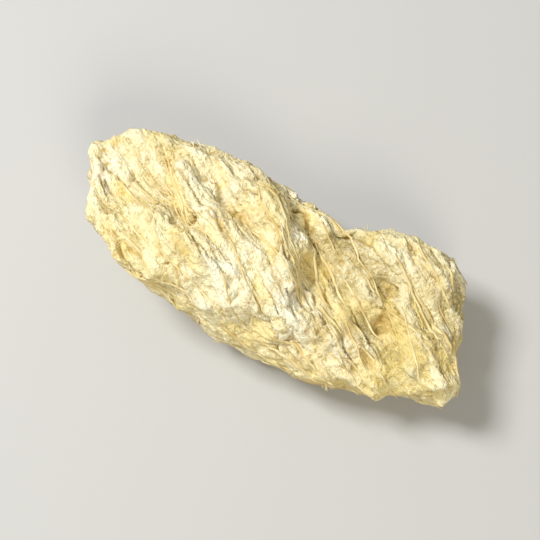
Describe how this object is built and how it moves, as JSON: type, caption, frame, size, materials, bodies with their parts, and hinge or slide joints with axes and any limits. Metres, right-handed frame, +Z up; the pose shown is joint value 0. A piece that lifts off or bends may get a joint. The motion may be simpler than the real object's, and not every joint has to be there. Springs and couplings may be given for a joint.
{
  "type": "dried ginger root chip",
  "caption": "Small pale chip of cut dried ginger root: elongated and fibrous, with a ribbed torn top, a saddle between two lobes, knife-cut ends and a flat underside.",
  "frame": {"origin": "under the middle of the chip's box, on the surface that it lies on", "axes": "+X along the chip towards its lower, pitted lobe; +Y across it towards the notched back edge; +Z up, away from the flat underside"},
  "size_m": [0.0122, 0.0048, 0.0036],
  "materials": {
    "ginger_flesh": "matte"
  },
  "bodies": {
    "root": {"ginger_chip": "ginger_flesh"}
  },
  "joints": []
}
